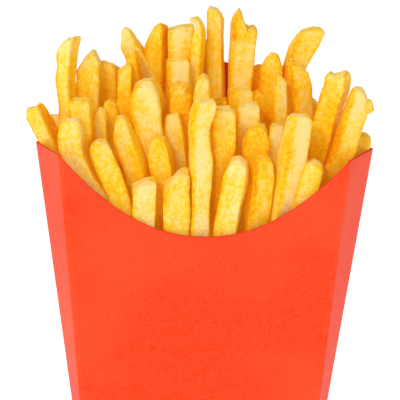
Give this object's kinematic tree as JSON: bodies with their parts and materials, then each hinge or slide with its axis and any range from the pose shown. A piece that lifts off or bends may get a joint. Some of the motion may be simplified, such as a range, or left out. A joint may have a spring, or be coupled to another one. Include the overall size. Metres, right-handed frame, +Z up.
{
  "type": "bucket of french fries",
  "caption": "Folded paperboard carton with a scooped front and a domed back, standing upright and filled to overflowing with thick-cut potato fries.",
  "frame": {"origin": "Middle of the carton's flat base, on the surface it stands on.", "axes": "+Z up out of the carton's mouth, the scooped front panel faces -Y, +X to the right seen from the front."},
  "size_m": [0.129, 0.054, 0.1752],
  "materials": {
    "carton_board": "satin",
    "fried_potato": "satin"
  },
  "bodies": {
    "root": {"carton": "carton_board", "fries": "fried_potato"}
  },
  "joints": []
}
